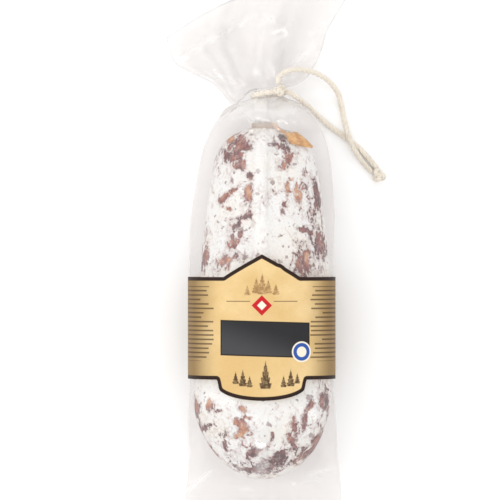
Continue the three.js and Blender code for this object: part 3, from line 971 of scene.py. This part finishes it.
def bag_body(around):
    """Weld, full body and gathered neck: the points, and the marks of seam, crease and shade."""
    c, s = superellipse(around, WRAP_POWER)
    keys = np.array([row[0] for row in BAG_RUN])
    lower = np.linspace(keys[0], SHOULDER_Y, BODY_RINGS)
    y = np.concatenate([lower, np.linspace(SHOULDER_Y + 0.5, keys[-1], SHOULDER_RINGS)])
    middle, half, low, high = through(keys, [row[1:] for row in BAG_RUN], y).T
    settled = SETTLED * smooth(60, 40, y) * smooth(-116, -100, y)
    half_height = (high - low + settled) / 2
    rise = (high + low - settled) / 2
    roundness = smooth(58, 67, y)[:, None]
    out = mix(c[None], np.cos(around)[None], roundness)
    lift = mix(s[None], np.sin(around)[None], roundness)

    wave = around * 11 / (2 * math.pi) + 0.35 * np.sin(2 * around)
    pleat = np.abs(wave % 1 - 0.5) * 4 - 1
    gather = (0.2 * smooth(57, 67.5, y))[:, None] * pleat
    x = middle[:, None] + half[:, None] * out * (1 + gather)
    z = rise[:, None] + half_height[:, None] * lift * (1 + gather)
    body = np.stack([x, np.broadcast_to(y[:, None], x.shape), z], axis=-1)

    front = smooth(0.0, 0.25, lift)
    free = (smooth(-60, -72, y) + smooth(-10, 4, y))[:, None]  # of the paper band
    shoulders = 0.75 * crease(x, body[..., 1], shoulder_folds(), 1.5)
    folds = 0.9 * crease(x, body[..., 1], FOOT_FOLDS, 2.4) + shoulders
    slack = 0.55 * lumps(body * (1, 0.4, 1), 15, 41) + 0.3 * (0.5 - np.abs(lumps(body, 8, 42)))
    open_body = smooth(68, 60, y)[:, None] * smooth(-117.5, -110, y)[:, None]
    over_string = 1 - 0.8 * smooth(49, 53, y) * smooth(66, 60, y)
    past_foot = mix(0.15, 1, smooth(-103, -95, y))
    uneven = 0.8 + 0.25 * lumps(body * (0.1, 1, 0), 12, 43)
    fade = over_string[:, None] * uneven * past_foot[:, None]
    on_top = smooth(0.3, 0.6, lift)
    seam = smooth(3.3, 2.0, np.abs(x - SEAM_X)) * on_top
    # A thin grey line of painted shadow along the seam's right edge, kept in the shade mark.
    painted_seam_shadow = np.exp(-(((x - SEAM_X - 3.0) / 0.45) ** 2)) * on_top
    push = (folds * front + slack * 0.6) * free * open_body - 0.15 * free
    push += 0.3 * seam
    ribs = 0.07 * np.sin(body[..., 1] * 2 * math.pi / 0.9) * smooth(-116.4, -117, y)[:, None]
    body[..., 0] += push * out * 0.8
    body[..., 2] += push * lift + ribs
    body[..., 2] = np.maximum(body[..., 2], low[:, None])

    # Painted highlights: white lines along the crests of the foot and shoulder folds; the gathered
    # neck is made whiter too.
    painted_crest_highlight = 0.8 * crease(x, body[..., 1], FOOT_FOLDS, 0.9) ** 1.5 + 0.8 * shoulders
    creased = np.clip(painted_crest_highlight * front * free, 0, 1) + 0.6 * smooth(63, 67, y)[:, None]
    weld = smooth(-116.0, -116.8, y)[:, None] * np.ones_like(x) * 1.2
    return body, np.stack([np.maximum(seam * fade, weld), creased, painted_seam_shadow * open_body * fade])


def bag_mouth(around, neck_ring):
    """The open mouth above the neck's last ring: the points, and the same marks."""
    t = np.linspace(0, 1, MOUTH_RINGS + 1)[1:]
    rows = through([row[0] for row in MOUTH_RUN], [row[1:] for row in MOUTH_RUN], t)
    left_x, left_y, right_x, right_y, height, bow, gap, fold = rows.T[:, :, None]
    run = t[:, None]
    across = (1 + np.cos(around)[None]) / 2
    layer = np.sin(around)[None]
    x = mix(left_x, right_x, across)
    y = mix(left_y, right_y, across) + bow * np.sin(math.pi * across)
    lobe = smooth(0.02, 0.14, run) * smooth(0.5, 0.2, run)
    y -= 7.0 * lobe * np.exp(-(((x + 11) / 6) ** 2))
    fan = across * MOUTH_PLEATS + 0.5 * np.sin(5 * across) + np.where(layer > 0, 0, 0.37)
    pleats = np.abs(fan % 1 - 0.5) * 2
    tucked = (1 - run) ** 1.5
    lines = 0.7 * crease(x, y, MOUTH_FOLDS, 1.9)
    flat = np.stack([x, y, np.where(layer > 0, 0.0, 30.0) + 0 * x], axis=-1)
    crumple = 0.9 * (1 - np.abs(lumps(flat, 11, 51))) + 0.25 * lumps(flat, 5, 52)
    raised = fold * (pleats * (0.3 + 0.7 * tucked) + crumple * 0.5)
    raised = raised + lines * np.where(layer > 0, 1, 0.3)
    wave = 2.4 * smooth(0.1, 0.6, run) * np.sin(2.6 * math.pi * across + 0.5)
    inner = np.abs(layer) ** 0.35
    z = height + wave + np.sign(layer) * inner * (gap / 2 + raised * 0.5 * np.abs(layer))
    freed = smooth(0, 0.1, run)
    mouth = np.stack([x, y, np.maximum(z, 0.4)], axis=-1)
    rigid = neck_ring[None] + (0, 1, 0) * (run[..., None] * 30)
    mouth = mix(rigid, mouth, freed[..., None])

    # Painted highlights: white lines along the mouth's fold crests and pleats, and a whiter tucked
    # neck.
    creased = 0.4 * crease(x, y, MOUTH_FOLDS, 0.8) + 0.5 * tucked**4 + 0.12 * (1 - pleats)
    # The shade mark here is painted shade: a grey baseline over the mouth, grey streaks from the
    # neck out, and grey rims where the two layers meet and along the cut edge.
    where = np.broadcast_arrays(across * 60, run * 9, layer * 3)
    streaks = lumps(np.stack(where, axis=-1), 7, 53)
    painted_rim_shade = smooth(0.3, 0.0, np.abs(layer)) * 0.5 + 0.5 * smooth(0.965, 1, run)
    shaded = np.clip(0.1 + 0.26 * streaks + painted_rim_shade, 0, 1) * freed
    return mouth, np.stack([np.zeros_like(x), np.clip(creased, 0, 1), shaded])


def bag_mesh():
    """One sheet of film: weld, full body, gathered neck and open mouth, as rings."""
    around = np.linspace(0, 2 * math.pi, BAG_SIDES, endpoint=False)
    body, body_marks = bag_body(around)
    mouth, mouth_marks = bag_mouth(around, body[-1])
    marks = zip(("seam", "crease", "shade"), np.concatenate([body_marks, mouth_marks], axis=1))
    rings = np.concatenate([body, mouth])
    return turned_out(skin_mesh("bag_film", rings * MM, list(marks)))


def band_edges(x, in_front):
    """The band's lower and upper edge: a peak above and a round apron below, both in front."""
    u = x - BAND_MIDDLE
    peak = 10.0 * np.clip(1 - np.abs(u) / 16.8, 0, 1) ** 0.92
    shoulder = 5.9 * smooth(15.5, 7.5, u) * smooth(2.0, 6.0, u)
    drop = 2.6 * smooth(19.6, 18.6, np.abs(u)) + 6.6 * np.sqrt(np.clip(1 - (u / 19.6) ** 2, 0, 1))
    low = BAND_EDGES[0] - np.where(in_front, drop, 0)
    high = BAND_EDGES[1] + np.where(in_front, np.maximum(peak, shoulder), 0)
    return low, high


def band_mesh():
    """Paper round bag and sausage, as an outer and an inner wall that join at their edges."""
    even = np.linspace(0, 2 * math.pi, BAND_SIDES, endpoint=False)
    c, s = superellipse(even, WRAP_POWER)

    def wall(inset, at):
        half_height = (BAND_HEIGHT + SETTLED) / 2 - inset
        x = BAND_MIDDLE + (BAND_HALF - inset) * c
        z = np.maximum((BAND_HEIGHT - SETTLED) / 2 + half_height * s, inset)
        low, high = band_edges(x, s > 0)
        y = mix(low[None], high[None], at[:, None])
        return np.stack([np.broadcast_to(x, y.shape), y, np.broadcast_to(z, y.shape)], axis=-1)

    outer = wall(0.02, np.linspace(0, 1, BAND_ROWS))
    inner = wall(0.3, np.linspace(1, 0, 10))
    ring = outer[0][:, [0, 2]]
    steps = np.linalg.norm(np.roll(ring, -1, axis=0) - ring, axis=1)
    length = np.concatenate([[0], np.cumsum(steps)])
    top = np.argmax(ring[:, 1])
    across = -(length[:-1] - length[top])
    across = (across + length[-1] / 2) % length[-1] - length[-1] / 2
    low, high = band_edges(ring[:, 0], s > 0)
    outline = np.concatenate([np.stack([across, low], -1), np.stack([across, high], -1)])
    steps = np.linspace(0, 1, 12)[:, None, None]
    for edge in (low, high):
        run = np.stack([across, edge], -1)
        following = np.roll(run, -1, axis=0)
        near = np.abs(following[:, 0] - run[:, 0]) < 5
        outline = np.concatenate([outline, mix(run[near], following[near], steps).reshape(-1, 2)])
    flat = np.stack([np.broadcast_to(across, outer.shape[:2]), outer[..., 1]], axis=-1)
    edge = np.stack([np.sqrt(((row[:, None] - outline[None]) ** 2).sum(-1).min(1)) for row in flat])

    rings = np.concatenate([outer, inner])
    blank = np.zeros(inner.shape[:2])
    marks = [
        ("across", np.concatenate([flat[..., 0], blank])),
        ("down", np.concatenate([flat[..., 1] - sum(BAND_EDGES) / 2, blank])),
        ("edge", np.concatenate([edge, blank + FAR])),
        ("inside", np.concatenate([np.zeros(outer.shape[:2]), blank + 1])),
    ]
    return turned_out(skin_mesh("paper_band", rings * MM, marks, looped=True))


# Twine: the neck's turns, its knot, the two strands and the end knot.
NECK = (4.6, 69.7, 14.0)
NECK_REACH = (5.7, 4.5)
NECK_KNOT = (9.2, 71.0, 21.0)
END_KNOT = (53.7, 33.4, 2.8)
UPPER_ROUTE = (
    (8.6, 74.2, 22),
    (9, 76.8, 21.6),
    (11.2, 79, 20.2),
    (15, 80.3, 17.8),
    (19.6, 80.4, 14.8),
    (24.6, 79.4, 11.4),
    (29.4, 77, 8),
    (33.2, 73.6, 5),
    (35.8, 69.4, 3),
    (37, 65, 1.8),
    (37.9, 60.4, 2),
    (38.8, 56, 3.2),
    (40, 51.6, 4.2),
    (41.4, 48, 4.2),
    (43, 44.8, 3.3),
    (44.9, 41.8, 2.1),
    (47, 39, 1.4),
    (50.8, 35, 1.3),
)
LOWER_ROUTE = (
    (12.6, 70.4, 20.6),
    (15.4, 69, 18.8),
    (18.4, 67, 15.4),
    (21.6, 64.4, 10.8),
    (24.8, 61.6, 6.2),
    (28.4, 58.4, 2.8),
    (32.2, 55.3, 1.4),
    (36.4, 52.2, 1.3),
    (40.8, 49.1, 1.3),
    (45.2, 45.6, 1.3),
    (49.4, 41, 1.3),
    (53, 36.6, 1.3),
)


def neck_turn(twine):
    """One tight turn round the gathered film, a little higher on the knot's side."""
    around = np.linspace(0, 2 * math.pi, 80, endpoint=False)
    half_width, half_height = (reach + twine * 0.5 + 0.2 for reach in NECK_REACH)
    x = NECK[0] + half_width * np.cos(around)
    y = NECK[1] + 0.9 * np.cos(around) + 0.5 * np.sin(around)
    return np.stack([x, y, NECK[2] + half_height * np.sin(around)], axis=1)


def overhand(centre, size, turn, twine):
    """A trefoil knot pulled tight to the size of a real one."""
    t = np.linspace(0, 2 * math.pi, 90, endpoint=False)
    x = (np.sin(t) + 2 * np.sin(2 * t)) / 3
    y = (np.cos(t) - 2 * np.cos(2 * t)) / 3
    z = -np.sin(3 * t)
    c, s = math.cos(math.radians(turn)), math.sin(math.radians(turn))
    reach = [half - twine * 0.5 for half in size]
    x, y, z = x * reach[0], y * reach[1], z * reach[2]
    return np.stack([x * c - y * s, x * s + y * c, z], axis=1) + centre


def string_turns():
    """The thin string round the gathered casing, three turns and a bit of slack."""
    middle = (COLLAR_LOW + COLLAR_HIGH) / 2 / MM
    reach = (COLLAR_HIGH.x - COLLAR_LOW.x) / 2 / MM - 0.62
    t = np.linspace(0, 3, 150)
    around = 2 * math.pi * t
    wobble = reach * (1 + 0.03 * np.sin(3.3 * around + 1))
    x = middle.x + wobble * np.cos(around)
    z = middle.z + wobble * np.sin(around)
    y = middle.y - 1.9 + 0.75 * t + 0.14 * np.sin(around + 2)
    return np.stack([x, y, z], axis=1)


# ---- Sizes and colours that a user would change ----
def paint(red, green, blue):
    """A colour of 0 to 255 as the linear numbers that the shaders take."""
    return tuple(((c / 255 + 0.055) / 1.055) ** 2.4 for c in (red, green, blue))


def colour(name, description, rgb):
    return bpy.props.FloatVectorProperty(
        name=name, description=description, default=paint(*rgb), subtype="COLOR", min=0, max=1
    )


def length(name, description, default):
    return bpy.props.FloatProperty(
        name=name, description=description, default=default, min=0, unit="LENGTH", precision=4
    )


def share(name, description, default):
    return bpy.props.FloatProperty(
        name=name, description=description, default=default, min=0, max=1, subtype="FACTOR"
    )


class CasingLook(bpy.types.PropertyGroup):
    """The sausage's skin."""

    bloom: colour("Bloom", "Powdery white bloom", (238, 240, 240))
    cream: colour("Warm bloom", "Bloom where it is thicker and warmer", (238, 235, 228))
    grey: colour("Dull bloom", "Bloom in the pits", (226, 218, 210))
    stain: colour("Stain", "Bloom that the meat shows through", (200, 182, 178))
    speck: colour("Specks", "Small bare specks", (132, 104, 102))
    meat_dark: colour("Dark meat", "Bare lean meat", (74, 36, 42))
    meat: colour("Meat", "Bare meat", (126, 70, 68))
    meat_brown: colour("Brown meat", "Bare meat beside fat", (168, 108, 84))
    fat: colour("Fat", "Fat under the bare casing", (210, 160, 120))
    amber: colour("Dry casing", "The casing's dry end", (232, 184, 112))
    amber_dark: colour("Dark dry casing", "Folds of the dry end", (184, 122, 60))
    string: colour("String", "The string round the casing's end", (150, 108, 58))
    string_light: colour("Light string", "Light fibres of that string", (190, 146, 92))
    string_dark: colour("Dark string", "Dark fibres of that string", (100, 68, 36))


class FilmLook(bpy.types.PropertyGroup):
    """The clear film bag."""

    haze: share("Haze", "How milky the film is face on", 0.1)
    edge: share("Edge", "How much whiter it is where it turns away", 0.5)
    # Creases: the strength of the painted highlights along the folds.
    crease: share("Creases", "How white its creases are", 0.34)
    seam: share("Seam", "How milky its welded seams are", 0.3)
    # Shade is painted shade: how dark and opaque the folded edges are made.
    shade: share("Shade", "How dark the folded edges are", 0.22)
    tint: colour("Tint", "What colour it gives what is seen through it", (250.4, 249.3, 248.9))
    white: colour("White", "The colour of its haze", (245, 243, 241))
    # Grey is the colour of that painted shade.
    grey: colour("Grey", "The colour of its folded edges", (150, 148, 148))


class BandLook(bpy.types.PropertyGroup):
    """The printed paper band."""

    kraft: colour("Kraft", "Kraft paper", (212, 178, 120))
    kraft_light: colour("Light kraft", "Kraft paper's light clouds", (230, 202, 150))
    kraft_dark: colour("Dark fibres", "Kraft paper's dark fibres", (196, 158, 102))
    # Kraft at the sides: partly print, partly painted shade.
    kraft_edge: colour("Kraft at the sides", "Kraft paper printed darker", (122, 94, 52))
    ink: colour("Ink", "Black-brown ink", (66, 44, 30))
    slate: colour("Slate", "The bare panel", (38, 38, 40))
    slate_light: colour("Light slate", "The bare panel's light end", (66, 66, 68))
    slate_rim: colour("Slate rim", "The bare panel's rim", (38, 32, 30))
    red: colour("Red", "The lozenge", (190, 24, 34))
    cream: colour("Cream", "The pale marks", (232, 224, 206))
    blue: colour("Blue", "The sticker's ring", (48, 84, 158))
    sepia: colour("Sepia", "The light drawing", (134, 92, 54))
    border: colour("Border", "The dark border", (40, 22, 14))


class TwineLook(bpy.types.PropertyGroup):
    """The cotton twine."""

    diameter: length("Diameter", "The twine's diameter", 0.0024)
    pitch: length("Pitch", "Length of one turn of a ply", 0.0072)
    string_diameter: length("String diameter", "Diameter of the string on the casing", 0.0013)
    light: colour("Light fibres", "The twine's light fibres", (242, 235, 224))
    cotton: colour("Cotton", "The twine's cotton", (228, 218, 202))
    dark: colour("Dark fibres", "The twine's shaded fibres", (194, 178, 156))


class StageLook(bpy.types.PropertyGroup):
    """Floor, lights and camera."""

    floor: colour("Floor", "The plain floor", (252, 252, 252))
    sky: bpy.props.FloatProperty(
        name="Sky", description="Brightness of the surrounding light", default=0.74, min=0
    )
    key: bpy.props.FloatProperty(
        name="Key", description="Power of the large soft light", default=6.9, min=0, unit="POWER"
    )
    strip: bpy.props.FloatProperty(
        name="Strips", description="Power of each side strip", default=1.3, min=0, unit="POWER"
    )
    height: length("Camera height", "Height of the camera over the floor", 2.4)
    view: length("View", "Width that the camera sees", 0.222)


# ---- Operators ----
def kept(piece, node):
    """Puts a piece on the pack's one body, in place of a frame node or beside the others."""
    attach(piece, ROOT)
    if node:
        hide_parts(node)
    return piece


def twine_finish(look):
    """The cotton that all pieces of the twine share."""
    name = "cotton twine"
    colours = {"twine": look.cotton, "twine_light": look.light, "twine_dark": look.dark}
    return bpy.data.materials.get(name) or cotton_twine(name, colours)


def soft_light(name, place, aim, size, power):
    """A rectangular area light that looks at a point."""
    data = bpy.data.lights.new(name, "AREA")
    data.shape = "RECTANGLE"
    data.size, data.size_y = size
    data.energy = power
    light = bpy.data.objects.new(name, data)
    light.location = place
    light.rotation_euler = (Vector(aim) - Vector(place)).to_track_quat("-Z", "Y").to_euler()
    light.visible_camera = False
    bpy.context.scene.collection.objects.link(light)


STRIPS = (  # name, place, aim, width and length, share of the strips' power
    ("strip_left", (-0.62, 0.0, 0.45), (0, 0, 0.03), (0.06, 0.9), 1.0),
    ("strip_right", (0.7, -0.1, 0.5), (0, 0, 0.03), (0.05, 0.8), 0.7),
    ("strip_head", (0.1, 0.75, 0.5), (0, 0.05, 0.02), (0.7, 0.06), 0.7),
    ("strip_foot", (-0.1, -0.75, 0.45), (0, -0.05, 0.02), (0.6, 0.06), 0.5),
)
FLOOR_REACH = 1.6
CAMERA_X = -4.0
KNOT_TWINE = 0.9  # twine pulled tight in a knot is thinner


class SAUSAGE_OT_stage(bpy.types.Operator):
    """Make the floor, the lights and the camera over the pack"""

    bl_idname = "sausage.stage"
    bl_label = "Stage"

    def execute(self, context):
        look = context.scene.sausage_stage
        ways = ((-1, -1), (1, -1), (1, 1), (-1, 1))
        corners = [(x * FLOOR_REACH, y * FLOOR_REACH, 0) for x, y in ways]
        mesh = bpy.data.meshes.new("floor")
        mesh.from_pydata(corners, [], [(0, 1, 2, 3)])
        f = Finish("pale floor")
        grain = f.noise(f.place(), 30, 2)
        f.surface(
            {
                "Base Color": f.blend(grain * 0.15, look.floor, (0.86, 0.86, 0.86)),
                "Roughness": 0.9,
                "Specular IOR Level": 0.1,
            }
        )
        new_piece("floor", mesh, f.material)

        world = bpy.data.worlds.new("soft sky")
        world.use_nodes = True
        sky = world.node_tree.nodes["Background"]
        sky.inputs["Color"].default_value = (1, 1, 1, 1)
        sky.inputs["Strength"].default_value = look.sky
        context.scene.world = world
        soft_light("key", (-0.12, 0.1, 1.25), (0, 0, 0), (1.6, 1.6), look.key)
        for name, place, aim, size, part in STRIPS:
            soft_light(name, place, aim, size, look.strip * part)

        data = bpy.data.cameras.new("camera")
        data.sensor_width = 36.0
        middle = BAG_HIGH.z / 2
        data.lens = data.sensor_width * (look.height - middle) / look.view
        data.clip_start, data.clip_end = 0.05, 20.0
        camera = bpy.data.objects.new("camera", data)
        camera.location = (CAMERA_X * MM, 0.0, look.height)
        context.scene.collection.objects.link(camera)
        context.scene.camera = camera
        context.scene.view_settings.view_transform = "Standard"
        return {"FINISHED"}


class SAUSAGE_OT_loop(bpy.types.Operator):
    """Make the hanging loop's two strands and its end knot"""

    bl_idname = "sausage.loop"
    bl_label = "Hanging loop"

    def execute(self, context):
        look = context.scene.sausage_twine
        cotton = twine_finish(look)
        path = overhand(END_KNOT, (3.6, 3.4, 2.7), -45, look.diameter / MM) * MM
        tight = look.diameter * KNOT_TWINE
        knot = twine_piece("end_knot", [path], cotton, tight, look.pitch, True)
        kept(knot, "loop_end_knot")
        for name, route in (("strand_upper", UPPER_ROUTE), ("strand_lower", LOWER_ROUTE)):
            path = smooth_path(route, 0.6) * MM
            strand = twine_piece(name, [path], cotton, look.diameter, look.pitch)
            kept(strand, "loop_" + name)
        return {"FINISHED"}


class SAUSAGE_OT_neck_twine(bpy.types.Operator):
    """Make the twine's turn round the neck, with its knot"""

    bl_idname = "sausage.neck_twine"
    bl_label = "Neck twine"

    def execute(self, context):
        look = context.scene.sausage_twine
        twine = look.diameter / MM
        cotton = twine_finish(look)
        knot = overhand(NECK_KNOT, (3.3, 2.8, 2.2), 25, twine)
        parts = [
            twine_piece("turn", [neck_turn(twine) * MM], cotton, look.diameter, look.pitch, True),
            twine_piece("knot", [knot * MM], cotton, look.diameter * KNOT_TWINE, look.pitch, True),
        ]
        kept(joined("neck_twine", parts), "neck_tie")
        return {"FINISHED"}


class SAUSAGE_OT_casing(bpy.types.Operator):
    """Make the bloomed sausage"""

    bl_idname = "sausage.casing"
    bl_label = "Sausage"

    def execute(self, context):
        look = context.scene.sausage_casing
        stops = [(0.1, look.meat_dark), (0.42, look.meat), (0.68, look.meat_brown), (1.0, look.fat)]
        colours = {"meat": stops, "bloom": look.bloom, "cream": look.cream, "grey": look.grey}
        colours |= {"stain": look.stain, "speck": look.speck}
        piece = new_piece("sausage_casing", sausage_mesh(), bloomed_casing(colours))
        kept(piece, "sausage")
        return {"FINISHED"}


class SAUSAGE_OT_casing_end(bpy.types.Operator):
    """Make the casing's dry tail and the string that ties it"""

    bl_idname = "sausage.casing_end"
    bl_label = "Casing end"

    def execute(self, context):
        look, twine = context.scene.sausage_casing, context.scene.sausage_twine
        amber = dry_casing({"amber": look.amber, "amber_dark": look.amber_dark})
        kept(new_piece("casing_tail", tail_mesh(), amber), None)
        colours = {"twine": look.string, "twine_light": look.string_light}
        tan = cotton_twine("tan string", colours | {"twine_dark": look.string_dark})
        size = twine.string_diameter
        string = twine_piece("casing_string", [string_turns() * MM], tan, size, size * 3)
        kept(string, "casing_tie")
        return {"FINISHED"}


class SAUSAGE_OT_bag(bpy.types.Operator):
    """Make the clear film bag"""

    bl_idname = "sausage.bag"
    bl_label = "Film bag"

    def execute(self, context):
        look = context.scene.sausage_film
        amounts = {name: getattr(look, name) for name in FilmLook.__annotations__}
        piece = new_piece("bag_film", bag_mesh(), clear_film(amounts))
        kept(piece, "film_bag")
        return {"FINISHED"}


class SAUSAGE_OT_band(bpy.types.Operator):
    """Make the printed paper band"""

    bl_idname = "sausage.band"
    bl_label = "Paper band"

    def execute(self, context):
        look = context.scene.sausage_band
        colours = {name: getattr(look, name) for name in BandLook.__annotations__}
        piece = new_piece("paper_band", band_mesh(), printed_kraft(colours, PRINT))
        kept(piece, "paper_label")
        return {"FINISHED"}


OPERATORS = (
    SAUSAGE_OT_stage,
    SAUSAGE_OT_loop,
    SAUSAGE_OT_neck_twine,
    SAUSAGE_OT_casing,
    SAUSAGE_OT_casing_end,
    SAUSAGE_OT_bag,
    SAUSAGE_OT_band,
)
LOOKS = {
    "sausage_stage": StageLook,
    "sausage_casing": CasingLook,
    "sausage_film": FilmLook,
    "sausage_band": BandLook,
    "sausage_twine": TwineLook,
}


class SAUSAGE_PT_panel(bpy.types.Panel):
    """Lists the pieces and their looks."""

    bl_idname = "SAUSAGE_PT_panel"
    bl_label = "Cured Sausage"
    bl_space_type = "VIEW_3D"
    bl_region_type = "UI"
    bl_category = "Sausage"

    def draw(self, context):
        for operator in OPERATORS:
            self.layout.operator(operator.bl_idname)
        for key, look in LOOKS.items():
            box = self.layout.box()
            box.label(text=look.__doc__)
            for name in look.__annotations__:
                box.prop(getattr(context.scene, key), name)


def register():
    for cls in (*LOOKS.values(), *OPERATORS, SAUSAGE_PT_panel):
        bpy.utils.register_class(cls)
    for key, look in LOOKS.items():
        setattr(bpy.types.Scene, key, bpy.props.PointerProperty(type=look))


def unregister():
    for key in LOOKS:
        delattr(bpy.types.Scene, key)
    for cls in (SAUSAGE_PT_panel, *reversed(OPERATORS), *reversed(LOOKS.values())):
        bpy.utils.unregister_class(cls)


def main():
    register()
    bpy.ops.sausage.stage()
    bpy.ops.sausage.loop()
    bpy.ops.sausage.neck_twine()
    bpy.ops.sausage.casing()
    bpy.ops.sausage.casing_end()
    bpy.ops.sausage.bag()
    bpy.ops.sausage.band()


if __name__ == "__main__":
    main()
